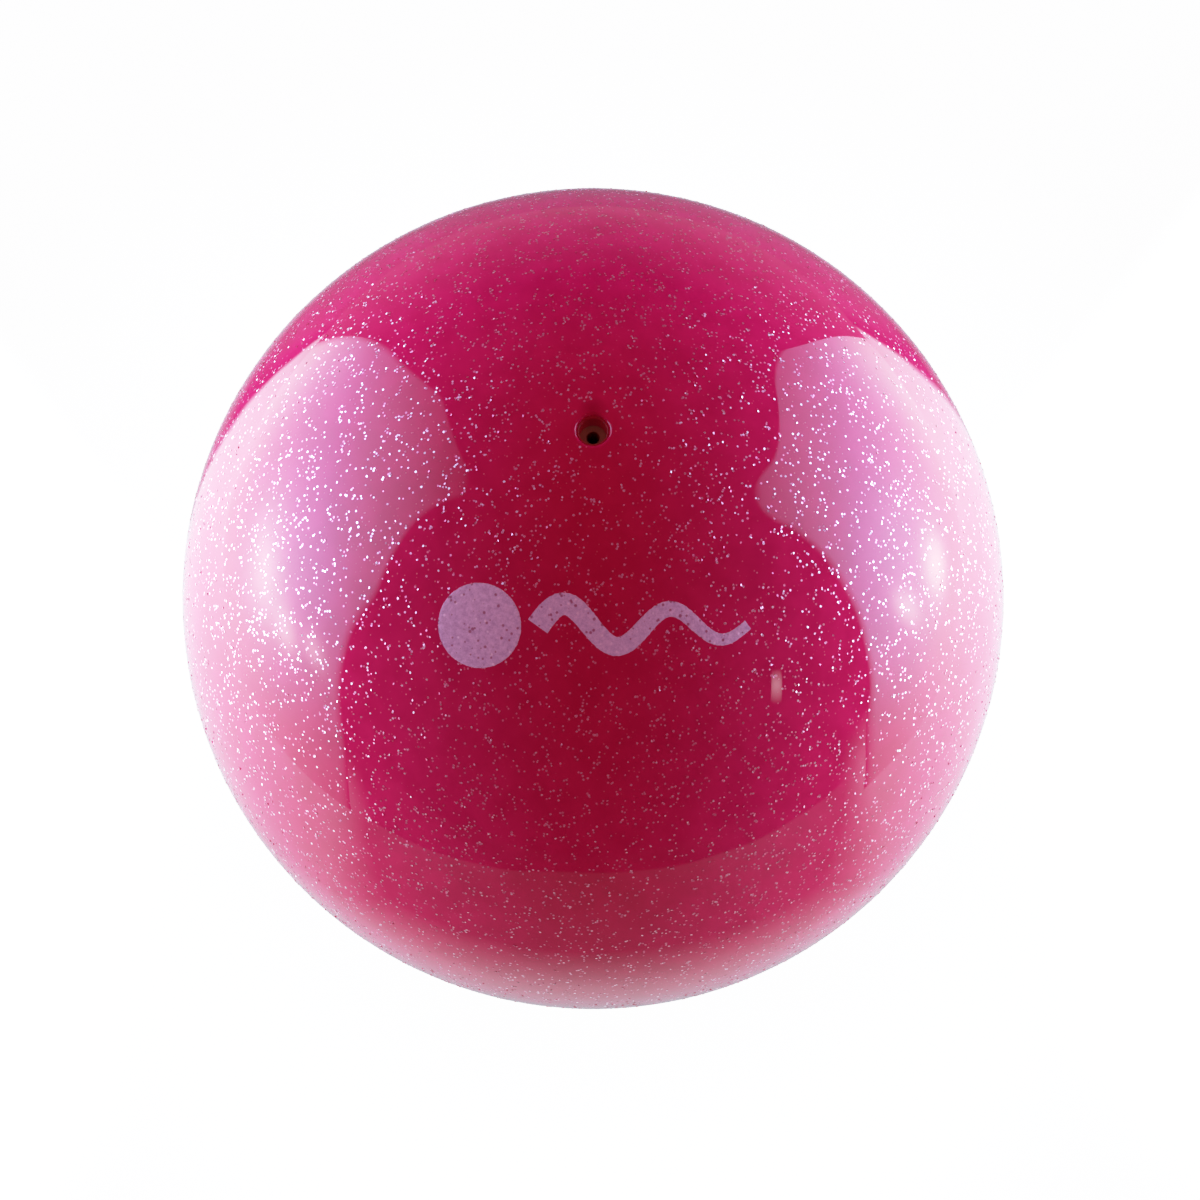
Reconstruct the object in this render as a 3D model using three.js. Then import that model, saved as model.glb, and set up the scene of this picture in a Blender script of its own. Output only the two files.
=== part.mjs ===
// Inflatable rhythmic gymnastics ball: a hollow moulded wall under a glossy glitter coat, with a
// self-sealing needle valve set into it and a small printed mark.
// Millimetres, +Z up. The origin is the ball's centre, the valve's axis is +Z and the print faces -Y.
import * as THREE from "three";

// Ball
const BALL_RADIUS = 92.5;
const COAT_THICKNESS = 0.6;
const WALL_THICKNESS = 2.8;
const BOND_GAP = 0.05; // between layers that are bonded together

// Valve recess in the surface
const MOUTH_RADIUS = 3.45;
const LIP_ROUNDING = 0.75;
const COLLAR_DEPTH = 1.3; // how far the coat turns down into the recess
const COLLAR_THICKNESS = 0.65;
const RECESS_DEPTH = 4;

// Valve housing, turned about the valve's axis
const NECK_RADIUS = 4.9;
const THROAT_RADIUS = 2.95;
const FLANGE_RADIUS = 13;
const FLANGE_THICKNESS = 1.6;
const STEM_RADIUS = 5.6;
const STEM_END_RADIUS = 5.2;
const STEM_DEPTH = 13; // from the mouth to the inner end of the housing
const CHAMBER_RADIUS = 3.9;
const CHAMBER_LENGTH = 5;
const OUTLET_RADIUS = 2.2;
const OUTLET_LENGTH = 1.2;
const SHOULDER_HEIGHT = 0.6; // of the slopes that lead into and out of the chamber
const STEM_ROUNDING = 0.5;
const ROOT_SIZE = 0.8; // of the slope where the stem meets the flange, and of the flange's edge
const FLANGE_EDGE = 0.5; // height of the flange's rim

// Valve core, held in the housing by its bulb
const CORE_CLEARANCE = 0.1;
const NEEDLE_RADIUS = 1.3;
const FUNNEL_RADIUS = 1.5;
const FUNNEL_DEPTH = 0.3;
const NEEDLE_DEPTH = 9;
const TIP_LENGTH = 2; // how far the tip reaches past the housing
const TIP_ROUNDING = 1;
const HEAD_CHAMFER = 0.2;

// Printed mark: a disc and a waving ribbon, on the surface in front of the valve
const PRINT_COLATITUDE = 26; // degrees from the valve's axis to the middle of the print
const INK_THICKNESS = 0.1;
const INK_GAP = 0.02;
const DISC_RADIUS = 9;
const DISC_CENTRE = -24;
const RIBBON_START = -11.5;
const RIBBON_END = 33;
const RIBBON_WAVE = 22.25; // wavelength
const RIBBON_SWING = 5; // amplitude at the start
const RIBBON_END_SWING = 0.55; // amplitude at the end, as a share of that at the start
const RIBBON_WIDE = 5;
const RIBBON_NARROW = 2.2;

// Facets. The rings of all the layers line up, so that the gap between two layers stays even.
const TURNS = 40; // facets round the axis
const RING_STEP = 9; // degrees between the rings of a sphere
const VALVE_RING = 6; // degrees, one more ring near the valve

const COAT_INNER = BALL_RADIUS - COAT_THICKNESS;
const WALL_OUTER = COAT_INNER - BOND_GAP;
const WALL_INNER = WALL_OUTER - WALL_THICKNESS;
const COLLAR_RADIUS = MOUTH_RADIUS + COLLAR_THICKNESS;
const WALL_HOLE_RADIUS = NECK_RADIUS + 2 * BOND_GAP;

const degrees = THREE.MathUtils.degToRad;
const point = (radius, height) => new THREE.Vector2(radius, height);
// The height of a sphere at a distance from the axis.
const heightAt = (sphere, radius) => Math.sqrt(sphere * sphere - radius * radius);

const MOUTH_HEIGHT = heightAt(BALL_RADIUS, MOUTH_RADIUS);
const FLOOR_HEIGHT = MOUTH_HEIGHT - RECESS_DEPTH;
const COLLAR_HEIGHT = MOUTH_HEIGHT - COLLAR_DEPTH;
const STEM_HEIGHT = MOUTH_HEIGHT - STEM_DEPTH;
const CHAMBER_FLOOR = STEM_HEIGHT + OUTLET_LENGTH + SHOULDER_HEIGHT;
const CHAMBER_TOP = CHAMBER_FLOOR + CHAMBER_LENGTH;

// Points on a sphere's rings, from the bottom pole up to the last ring outside the given radius.
function sphereRings(sphere, edgeRadius) {
  const rings = [];
  for (let colatitude = 180; colatitude >= RING_STEP; colatitude -= RING_STEP) {
    rings.push(colatitude);
  }
  rings.push(VALVE_RING);
  return rings
    .map((colatitude) => degrees(colatitude))
    .map((angle) => point(Math.max(0, sphere * Math.sin(angle)), sphere * Math.cos(angle)))
    .filter(({ x, y }) => y < 0 || x > edgeRadius);
}

// Points along a circular arc. The angles are in degrees from the radial direction, upwards.
function arc(centre, radius, from, to, steps) {
  return Array.from({ length: steps + 1 }, (_, i) => {
    const angle = degrees(from + ((to - from) * i) / steps);
    return point(centre.x + radius * Math.cos(angle), centre.y + radius * Math.sin(angle));
  });
}

// A profile of radius and height, turned about the Z axis.
function turned(profile) {
  return new THREE.LatheGeometry(profile, TURNS).rotateX(Math.PI / 2);
}

function glitterCoat() {
  const roundingCentre = point(
    MOUTH_RADIUS + LIP_ROUNDING,
    heightAt(BALL_RADIUS - LIP_ROUNDING, MOUTH_RADIUS + LIP_ROUNDING),
  );
  const tangent = THREE.MathUtils.radToDeg(Math.atan2(roundingCentre.y, roundingCentre.x));
  return turned([
    ...sphereRings(BALL_RADIUS, COLLAR_RADIUS),
    ...arc(roundingCentre, LIP_ROUNDING, tangent, 180, 5),
    point(MOUTH_RADIUS, COLLAR_HEIGHT),
    point(COLLAR_RADIUS, COLLAR_HEIGHT),
    point(COLLAR_RADIUS, heightAt(COAT_INNER, COLLAR_RADIUS)),
    ...sphereRings(COAT_INNER, COLLAR_RADIUS).reverse(),
  ]);
}

function ballWall() {
  return turned([
    ...sphereRings(WALL_OUTER, WALL_HOLE_RADIUS),
    point(WALL_HOLE_RADIUS, heightAt(WALL_OUTER, WALL_HOLE_RADIUS)),
    point(WALL_HOLE_RADIUS, heightAt(WALL_INNER, WALL_HOLE_RADIUS)),
    ...sphereRings(WALL_INNER, WALL_HOLE_RADIUS).reverse(),
  ]);
}

// A neck in the wall's hole, a flange against the wall's inside and a stem with a bulb chamber.
function valveHousing() {
  const flangeTop = WALL_INNER - BOND_GAP;
  const flangeUnder = flangeTop - FLANGE_THICKNESS;
  const rebateRadius = COLLAR_RADIUS + BOND_GAP;
  const neckTop = COLLAR_HEIGHT - BOND_GAP;
  const flangeRing = flangeTop * Math.sin(degrees(VALVE_RING));
  const rootRadius = STEM_RADIUS + ROOT_SIZE;
  const rimRadius = FLANGE_RADIUS - ROOT_SIZE;
  const stemRounding = point(STEM_END_RADIUS - STEM_ROUNDING, STEM_HEIGHT + STEM_ROUNDING);
  return turned([
    point(THROAT_RADIUS, neckTop),
    point(THROAT_RADIUS, CHAMBER_TOP + SHOULDER_HEIGHT),
    point(CHAMBER_RADIUS, CHAMBER_TOP),
    point(CHAMBER_RADIUS, CHAMBER_FLOOR),
    point(OUTLET_RADIUS, STEM_HEIGHT + OUTLET_LENGTH),
    point(OUTLET_RADIUS, STEM_HEIGHT),
    ...arc(stemRounding, STEM_ROUNDING, -90, 0, 3),
    point(STEM_RADIUS, heightAt(flangeUnder, STEM_RADIUS) - ROOT_SIZE),
    point(rootRadius, heightAt(flangeUnder, rootRadius)),
    point(flangeRing, heightAt(flangeUnder, flangeRing)),
    point(rimRadius, heightAt(flangeUnder, rimRadius)),
    point(FLANGE_RADIUS, heightAt(flangeTop, FLANGE_RADIUS) - FLANGE_EDGE),
    point(FLANGE_RADIUS, heightAt(flangeTop, FLANGE_RADIUS)),
    point(flangeRing, heightAt(flangeTop, flangeRing)),
    point(NECK_RADIUS, heightAt(flangeTop, NECK_RADIUS)),
    point(NECK_RADIUS, heightAt(COAT_INNER - BOND_GAP, NECK_RADIUS)),
    point(rebateRadius, heightAt(COAT_INNER - BOND_GAP, NECK_RADIUS)),
    point(rebateRadius, neckTop),
    point(THROAT_RADIUS, neckTop),
  ]);
}

// A soft plug with a needle channel that ends in a closed slit at its tip.
function valveCore() {
  const headRadius = THROAT_RADIUS - CORE_CLEARANCE;
  const bulbRadius = CHAMBER_RADIUS - CORE_CLEARANCE;
  const tipRadius = OUTLET_RADIUS - CORE_CLEARANCE;
  const tipEnd = STEM_HEIGHT - TIP_LENGTH;
  return turned([
    point(0, tipEnd),
    ...arc(point(tipRadius - TIP_ROUNDING, tipEnd + TIP_ROUNDING), TIP_ROUNDING, -90, 0, 3),
    point(tipRadius, STEM_HEIGHT + OUTLET_LENGTH + CORE_CLEARANCE),
    point(bulbRadius, CHAMBER_FLOOR + CORE_CLEARANCE),
    point(bulbRadius, CHAMBER_TOP - CORE_CLEARANCE),
    point(headRadius, CHAMBER_TOP + SHOULDER_HEIGHT - CORE_CLEARANCE),
    point(headRadius, FLOOR_HEIGHT - HEAD_CHAMFER),
    point(headRadius - HEAD_CHAMFER, FLOOR_HEIGHT),
    point(FUNNEL_RADIUS, FLOOR_HEIGHT),
    point(NEEDLE_RADIUS, FLOOR_HEIGHT - FUNNEL_DEPTH),
    point(NEEDLE_RADIUS, FLOOR_HEIGHT - NEEDLE_DEPTH),
    point(0, FLOOR_HEIGHT - NEEDLE_DEPTH - NEEDLE_RADIUS),
  ]);
}

// A thin film of ink that lies on the ball. place(s, t), with s and t from 0 to 1, gives the film's
// flat shape: across to the right and up towards the valve, from the middle of the print.
function inkFilm(place, columns, rows) {
  const middle = new THREE.Vector3(0, -1, 0).applyAxisAngle(
    new THREE.Vector3(1, 0, 0),
    -degrees(90 - PRINT_COLATITUDE),
  );
  const right = new THREE.Vector3(1, 0, 0);
  const up = right.clone().cross(middle).negate();
  const inner = BALL_RADIUS + INK_GAP;
  const positions = [];
  for (const sphere of [inner, inner + INK_THICKNESS]) {
    for (let j = 0; j <= rows; j += 1) {
      for (let i = 0; i <= columns; i += 1) {
        const { x, y } = place(i / columns, j / rows);
        const bearing = right.clone().multiplyScalar(x).addScaledVector(up, y);
        const angle = bearing.length() / BALL_RADIUS;
        const onBall = middle.clone().multiplyScalar(Math.cos(angle));
        onBall.addScaledVector(bearing.normalize(), Math.sin(angle)).multiplyScalar(sphere);
        positions.push(onBall.x, onBall.y, onBall.z);
      }
    }
  }
  const layer = (columns + 1) * (rows + 1);
  const at = (i, j, top) => (top ? layer : 0) + j * (columns + 1) + i;
  const faces = [];
  const quad = (a, b, c, d) => faces.push(a, b, c, a, c, d);
  for (let j = 0; j < rows; j += 1) {
    for (let i = 0; i < columns; i += 1) {
      quad(at(i, j, true), at(i + 1, j, true), at(i + 1, j + 1, true), at(i, j + 1, true));
      quad(at(i, j), at(i, j + 1), at(i + 1, j + 1), at(i + 1, j));
    }
  }
  for (let i = 0; i < columns; i += 1) {
    quad(at(i, 0), at(i + 1, 0), at(i + 1, 0, true), at(i, 0, true));
    quad(at(i + 1, rows), at(i, rows), at(i, rows, true), at(i + 1, rows, true));
  }
  for (let j = 0; j < rows; j += 1) {
    quad(at(0, j + 1), at(0, j), at(0, j, true), at(0, j + 1, true));
    quad(at(columns, j), at(columns, j + 1), at(columns, j + 1, true), at(columns, j, true));
  }
  const film = new THREE.BufferGeometry();
  film.setAttribute("position", new THREE.Float32BufferAttribute(positions, 3));
  film.setIndex(faces);
  film.computeVertexNormals();
  return film;
}

// A square grid pulled out to a circle.
function discPlace(s, t) {
  const a = 2 * s - 1;
  const b = 2 * t - 1;
  return point(
    DISC_CENTRE + DISC_RADIUS * a * Math.sqrt(1 - (b * b) / 2),
    DISC_RADIUS * b * Math.sqrt(1 - (a * a) / 2),
  );
}

// A sine wave that narrows and calms towards its end. The width is measured square to the wave.
function ribbonPlace(s, t) {
  const swing = RIBBON_SWING * THREE.MathUtils.lerp(1, RIBBON_END_SWING, s);
  const phase = (2 * Math.PI * s * (RIBBON_END - RIBBON_START)) / RIBBON_WAVE;
  const slope = ((2 * Math.PI) / RIBBON_WAVE) * swing * Math.cos(phase);
  const across = (t - 0.5) * THREE.MathUtils.lerp(RIBBON_WIDE, RIBBON_NARROW, s);
  const length = Math.hypot(1, slope);
  return point(
    THREE.MathUtils.lerp(RIBBON_START, RIBBON_END, s) - (across * slope) / length,
    swing * Math.sin(phase) + across / length,
  );
}

const material = (color, roughness) =>
  new THREE.MeshStandardMaterial({ color, roughness, metalness: 0 });
const glitterVinyl = material(0xc01a58, 0.08);
const pinkVinyl = material(0xa80f3c, 0.4);
const valveRubber = material(0x8c0d30, 0.45);
const coreRubber = material(0x4a2418, 0.6);
const ink = material(0xc99bc0, 0.35);

function piece(name, geometry, finish) {
  const mesh = new THREE.Mesh(geometry, finish);
  mesh.name = name;
  return mesh;
}

const ball = new THREE.Group();
ball.add(
  piece("glitter_coat", glitterCoat(), glitterVinyl),
  piece("ball_wall", ballWall(), pinkVinyl),
  piece("valve_housing", valveHousing(), valveRubber),
  piece("valve_core", valveCore(), coreRubber),
  piece("printed_disc", inkFilm(discPlace, 12, 12), ink),
  piece("printed_ribbon", inkFilm(ribbonPlace, 60, 3), ink),
);

export default ball;
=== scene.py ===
"""A rhythmic gymnastics ball: a hollow pink vinyl wall under a glossy coat with silver glitter,
a recessed self-sealing needle valve and a small lilac print. Metres, +Z up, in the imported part's frame."""

import math

import bpy
import numpy as np
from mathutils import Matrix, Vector


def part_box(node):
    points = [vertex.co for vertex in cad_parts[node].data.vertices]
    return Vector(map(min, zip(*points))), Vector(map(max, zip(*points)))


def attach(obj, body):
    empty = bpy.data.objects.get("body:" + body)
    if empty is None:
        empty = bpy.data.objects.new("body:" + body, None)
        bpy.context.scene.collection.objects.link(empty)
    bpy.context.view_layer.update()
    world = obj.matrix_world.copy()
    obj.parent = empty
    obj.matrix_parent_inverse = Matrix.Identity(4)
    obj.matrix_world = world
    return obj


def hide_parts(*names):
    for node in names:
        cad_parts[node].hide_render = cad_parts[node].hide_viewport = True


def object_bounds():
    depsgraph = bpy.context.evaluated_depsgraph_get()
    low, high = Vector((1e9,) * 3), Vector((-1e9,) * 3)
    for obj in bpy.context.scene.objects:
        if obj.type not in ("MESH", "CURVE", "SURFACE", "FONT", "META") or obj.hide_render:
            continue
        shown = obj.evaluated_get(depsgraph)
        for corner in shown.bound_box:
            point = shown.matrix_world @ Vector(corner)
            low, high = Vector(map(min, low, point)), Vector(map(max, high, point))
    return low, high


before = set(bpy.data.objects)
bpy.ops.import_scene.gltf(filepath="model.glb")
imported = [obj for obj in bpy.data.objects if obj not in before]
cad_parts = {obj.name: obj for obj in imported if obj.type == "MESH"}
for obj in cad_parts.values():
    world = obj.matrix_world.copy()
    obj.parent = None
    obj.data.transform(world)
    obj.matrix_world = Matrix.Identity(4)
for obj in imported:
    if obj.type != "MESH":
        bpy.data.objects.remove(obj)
cad_low, cad_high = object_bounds()

MM = 0.001

# ---------------------------------------------------------------- sizes, from the frame where it has them

coat_low, coat_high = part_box("glitter_coat")
wall_low, wall_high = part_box("ball_wall")
housing_low, housing_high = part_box("valve_housing")
core_low, core_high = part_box("valve_core")

BALL_RADIUS = (coat_high.x - coat_low.x) / 2
WALL_OUTER = (wall_high.x - wall_low.x) / 2
BOND_GAP = 0.05 * MM
COAT_INNER = WALL_OUTER + BOND_GAP
WALL_THICKNESS = 2.8 * MM
WALL_INNER = WALL_OUTER - WALL_THICKNESS

MOUTH_RADIUS = 3.45 * MM
LIP_ROUNDING = 0.75 * MM
COLLAR_THICKNESS = 0.65 * MM
COLLAR_ROUNDING = 0.1 * MM
COLLAR_RADIUS = MOUTH_RADIUS + COLLAR_THICKNESS
NECK_TOP = housing_high.z
COLLAR_BOTTOM = NECK_TOP + BOND_GAP
NECK_RADIUS = 4.9 * MM
WALL_HOLE_RADIUS = NECK_RADIUS + 2 * BOND_GAP
THROAT_RADIUS = 2.95 * MM
FLANGE_RADIUS = (housing_high.x - housing_low.x) / 2
FLANGE_THICKNESS = 1.6 * MM
STEM_RADIUS = 5.6 * MM
STEM_END_RADIUS = 5.2 * MM
STEM_BOTTOM = housing_low.z
OUTLET_RADIUS = 2.2 * MM
OUTLET_LENGTH = 1.2 * MM
SHOULDER_HEIGHT = 0.6 * MM
ROOT_SIZE = 0.8 * MM  # of the slope where the stem meets the flange, and of the flange's edge
FLANGE_EDGE = 0.5 * MM  # height of the flange's rim
CHAMBER_LENGTH = 5 * MM
CORE_CLEARANCE = 0.1 * MM
BULB_RADIUS = (core_high.x - core_low.x) / 2
CHAMBER_RADIUS = BULB_RADIUS + CORE_CLEARANCE
CHAMBER_FLOOR = STEM_BOTTOM + OUTLET_LENGTH + SHOULDER_HEIGHT
CHAMBER_TOP = CHAMBER_FLOOR + CHAMBER_LENGTH
RECESS_FLOOR = core_high.z
CORE_TIP = core_low.z
NEEDLE_RADIUS = 1.3 * MM
NEEDLE_DEPTH = 9 * MM
FUNNEL_WIDTH = 0.1 * MM
FUNNEL_DEPTH = 0.7 * MM
HOUSING_ROUNDING = 0.25 * MM
CORE_ROUNDING = 0.35 * MM

PRINT_COLATITUDE = math.radians(26)  # from the valve's axis to the print's middle
DISC_RADIUS = 9 * MM
DISC_CENTRE = -24 * MM
RIBBON_START = -11.5 * MM
RIBBON_END = 33 * MM
RIBBON_WAVE = 22.25 * MM  # wavelength
RIBBON_SWING = 5 * MM  # amplitude at the start
RIBBON_END_SWING = 0.55  # amplitude at the end, as a share of that at the start
RIBBON_WIDE = 5 * MM
RIBBON_NARROW = 2.2 * MM
INK_LIFT = 0.004 * MM  # between the ink and the coat
INK_THICKNESS = 0.05 * MM
DISC_RAGGED = 0.05 * MM  # how uneven the ink's edges are
RIBBON_RAGGED = 0.04 * MM

# How finely the pieces are drawn
COAT_ROWS, COAT_SEGMENTS = 150, 288
SHELL_ROWS, SHELL_SEGMENTS = 72, 144
WALL_INNER_ROWS = 60
VALVE_SEGMENTS = 96
DISC_STEPS = 56
RIBBON_COLUMNS, RIBBON_ROWS = 241, 17

# Glitter: small hexagonal plates that lie on the coat, each a little tilted
FLAKES_PER_CM2 = 28
FLAKE_PIECES = 4
FLAKE_WIDTH = 0.52 * MM
FLAKE_THICKNESS = 0.012 * MM
FLAKE_TILT = math.radians(9)  # how much the tilts vary
FLAKE_SIZES = 0.8, 1.15  # the smallest and largest flake, of the width above
FLAKE_CLEAR_RADIUS = 4.6 * MM  # round the valve's axis
FRIEND_DISTANCE = 0.7 * MM  # between flakes that lie close together
DEEP_FLAKES_PER_MM3 = 0.5
DEEP_FLAKE_RADIUS = 0.24 * MM

# Camera
CAMERA_ELEVATION = math.radians(67.6)
CAMERA_DISTANCE = 12 * BALL_RADIUS
BALL_IN_FRAME = 0.6842  # the ball's diameter, of the frame's width
CENTRE_SHIFT = (0.0058, -0.0012)  # of the frame's width
SENSOR_WIDTH = 36  # mm

rng = np.random.default_rng(20)  # every run draws the same numbers

# ---------------------------------------------------------------- meshes


def height_at(sphere, radius):
    """Height of a sphere's top at a distance from the axis."""
    return math.sqrt(sphere * sphere - radius * radius)


def unit(rows):
    """Each row with its length made 1."""
    return rows / np.linalg.norm(rows, axis=1, keepdims=True)


def arc(centre, radius, start, end, steps):
    """Points (radius, height) along an arc. The angles are in degrees from the radial direction."""
    angles = np.radians(np.linspace(start, end, steps + 1))
    return [(centre[0] + radius * math.cos(a), centre[1] + radius * math.sin(a)) for a in angles]


def meridian(sphere, edge_radius, steps):
    """Points from the bottom pole up to the circle of edge_radius round the top pole."""
    last = math.asin(edge_radius / sphere)
    colatitudes = np.linspace(math.pi, last, steps + 1)
    points = [(sphere * math.sin(a), sphere * math.cos(a)) for a in colatitudes]
    points[0] = (0.0, -sphere)
    return points


def straight(start, end, steps):
    """Points along a straight line."""
    return [tuple(p) for p in np.linspace(start, end, steps + 1)]


def rounded(points, radius, steps=4):
    """The open outline with each corner between its ends turned into a small curve."""
    out = [points[0]]
    for before, corner, after in zip(points, points[1:], points[2:]):
        a, c, b = (np.array(p, float) for p in (before, corner, after))
        reach = min(radius, 0.45 * np.linalg.norm(a - c), 0.45 * np.linalg.norm(b - c))
        start = c + (a - c) / np.linalg.norm(a - c) * reach
        end = c + (b - c) / np.linalg.norm(b - c) * reach
        for t in np.linspace(0, 1, steps + 1):
            out.append(tuple((1 - t) ** 2 * start + 2 * t * (1 - t) * c + t * t * end))
    out.append(points[-1])
    return out


def add_object(name, vertices, faces, sharp_angle=40):
    mesh = bpy.data.meshes.new(name)
    mesh.from_pydata([tuple(v) for v in vertices], [], faces)
    mesh.update()
    mesh.shade_smooth()
    mesh.set_sharp_from_angle(angle=math.radians(sharp_angle))
    piece = bpy.data.objects.new(name, mesh)
    bpy.context.scene.collection.objects.link(piece)
    return piece


def turned(name, profile, segments):
    """A closed body: the profile turned about Z. It starts and ends on the axis, or closes on itself."""
    on_axis = [abs(r) < 1e-9 for r, _ in profile]
    ring = not any(on_axis)
    vertices, rows = [], []
    turns = np.linspace(0, 2 * math.pi, segments, endpoint=False)
    for (radius, height), axis in zip(profile, on_axis):
        if axis:
            rows.append([len(vertices)] * segments)
            vertices.append((0.0, 0.0, height))
            continue
        rows.append(list(range(len(vertices), len(vertices) + segments)))
        vertices += [(radius * math.cos(a), radius * math.sin(a), height) for a in turns]
    faces = []
    pairs = list(zip(rows, rows[1:] + rows[:1])) if ring else list(zip(rows, rows[1:]))
    for low, high in pairs:
        for i in range(segments):
            j = (i + 1) % segments
            face = list(dict.fromkeys([low[i], low[j], high[j], high[i]]))
            if len(face) > 2:
                faces.append(face)
    return add_object(name, vertices, faces)


# The moulded surface isn't a perfect sphere: it waves by a few hundredths of a millimetre.
RIPPLE_HEIGHT = 0.012 * MM
RIPPLES = 40
ripple_directions = unit(rng.normal(size=(RIPPLES, 3)))
ripple_waves = ripple_directions * (2 * math.pi / rng.uniform(9 * MM, 30 * MM, (RIPPLES, 1)))
ripple_phases = rng.uniform(0, 2 * math.pi, RIPPLES)


def ripple(points):
    """How far the surface stands out from the sphere at each point. It dies out round the valve."""
    points = np.asarray(points, float)
    waves = np.zeros(len(points))
    for wave, phase in zip(ripple_waves, ripple_phases):
        waves += np.sin(points @ wave + phase)
    from_axis = np.hypot(points[:, 0], points[:, 1])
    near_valve = (points[:, 2] > 0) * np.exp(-((from_axis / (2 * COLLAR_RADIUS)) ** 2))
    return RIPPLE_HEIGHT * waves * math.sqrt(2 / RIPPLES) * (1 - near_valve)


def make_coat():
    """The coat: a thin shell whose skin rolls over a soft lip and turns down into the valve's recess."""
    lip = (MOUTH_RADIUS + LIP_ROUNDING, height_at(BALL_RADIUS - LIP_ROUNDING, MOUTH_RADIUS + LIP_ROUNDING))
    tangent = math.degrees(math.atan2(lip[1], lip[0]))
    profile = meridian(BALL_RADIUS, BALL_RADIUS * math.cos(math.radians(tangent)), COAT_ROWS)
    profile += arc(lip, LIP_ROUNDING, tangent, 180, 14)[1:]
    corner = (MOUTH_RADIUS + COLLAR_ROUNDING, COLLAR_BOTTOM + COLLAR_ROUNDING)
    profile += straight((MOUTH_RADIUS, lip[1]), (MOUTH_RADIUS, corner[1]), 3)[1:]
    profile += arc(corner, COLLAR_ROUNDING, 180, 270, 4)[1:]
    profile += [(COLLAR_RADIUS, COLLAR_BOTTOM), (COLLAR_RADIUS, height_at(COAT_INNER, COLLAR_RADIUS))]
    profile += meridian(COAT_INNER, COLLAR_RADIUS, SHELL_ROWS)[::-1][1:]
    coat = turned("glitter_coat_skin", profile, COAT_SEGMENTS)
    mesh = coat.data
    points = np.empty(len(mesh.vertices) * 3)
    mesh.vertices.foreach_get("co", points)
    points = points.reshape(-1, 3)
    lengths = np.linalg.norm(points, axis=1)
    skin = lengths > BALL_RADIUS - 1e-6
    points[skin] *= (1 + ripple(points[skin]) / lengths[skin])[:, None]
    mesh.vertices.foreach_set("co", points.ravel())
    mesh.update()
    return coat


def make_wall():
    """The wall: a thick shell with a hole for the housing's neck."""
    profile = meridian(WALL_OUTER, WALL_HOLE_RADIUS, SHELL_ROWS)
    profile += [(WALL_HOLE_RADIUS, height_at(WALL_INNER, WALL_HOLE_RADIUS))]
    profile += meridian(WALL_INNER, WALL_HOLE_RADIUS, WALL_INNER_ROWS)[::-1][1:]
    return turned("ball_wall_shell", profile, SHELL_SEGMENTS)


def make_housing():
    """Neck, flange and stem in one turned rubber piece. The flange follows the wall's inside."""
    flange_top = WALL_INNER - BOND_GAP
    flange_under = flange_top - FLANGE_THICKNESS
    rebate_radius = COLLAR_RADIUS + BOND_GAP
    root, rim = STEM_RADIUS + ROOT_SIZE, FLANGE_RADIUS - ROOT_SIZE
    under = [(r, height_at(flange_under, r)) for r in np.linspace(root, rim, 9)]
    top = [(r, height_at(flange_top, r)) for r in np.linspace(FLANGE_RADIUS, NECK_RADIUS, 10)]
    neck_shoulder = height_at(COAT_INNER - BOND_GAP, NECK_RADIUS)
    seam = (THROAT_RADIUS, NECK_TOP - 1.2 * MM)  # where the outline starts and ends, on the throat's wall
    outline = [
        seam,
        (THROAT_RADIUS, CHAMBER_TOP + SHOULDER_HEIGHT),
        (CHAMBER_RADIUS, CHAMBER_TOP),
        (CHAMBER_RADIUS, CHAMBER_FLOOR),
        (OUTLET_RADIUS, STEM_BOTTOM + OUTLET_LENGTH),
        (OUTLET_RADIUS, STEM_BOTTOM),
        (STEM_END_RADIUS, STEM_BOTTOM),
        (STEM_RADIUS, under[0][1] - ROOT_SIZE),
        *under,
        (FLANGE_RADIUS, top[0][1] - FLANGE_EDGE),
        *top,
        (NECK_RADIUS, neck_shoulder),
        (rebate_radius, neck_shoulder),
        (rebate_radius, NECK_TOP),
        (THROAT_RADIUS, NECK_TOP),
        seam,
    ]
    return turned("valve_housing_rubber", rounded(outline, HOUSING_ROUNDING)[:-1], VALVE_SEGMENTS)


def make_core():
    """The plug: head, bulb and tip, with a funnel that leads a needle into its channel."""
    head = THROAT_RADIUS - CORE_CLEARANCE
    tip = OUTLET_RADIUS - CORE_CLEARANCE
    outline = [
        (0.0, CORE_TIP),
        (tip, CORE_TIP),
        (tip, STEM_BOTTOM + OUTLET_LENGTH + CORE_CLEARANCE),
        (BULB_RADIUS, CHAMBER_FLOOR + CORE_CLEARANCE),
        (BULB_RADIUS, CHAMBER_TOP - CORE_CLEARANCE),
        (head, CHAMBER_TOP + SHOULDER_HEIGHT - CORE_CLEARANCE),
        (head, RECESS_FLOOR),
        (NEEDLE_RADIUS + FUNNEL_WIDTH, RECESS_FLOOR),
        (NEEDLE_RADIUS, RECESS_FLOOR - FUNNEL_DEPTH),
        (NEEDLE_RADIUS, RECESS_FLOOR - NEEDLE_DEPTH),
        (0.0, RECESS_FLOOR - NEEDLE_DEPTH - NEEDLE_RADIUS),
    ]
    return turned("valve_core_rubber", rounded(outline, CORE_ROUNDING, 6), VALVE_SEGMENTS)


# ---------------------------------------------------------------- the print

print_middle = Vector((0, -math.sin(PRINT_COLATITUDE), math.cos(PRINT_COLATITUDE)))
print_right = Vector((1, 0, 0))
print_up = print_middle.cross(print_right)
PRINT_AXES = np.array([print_right, print_up, print_middle])


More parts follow.
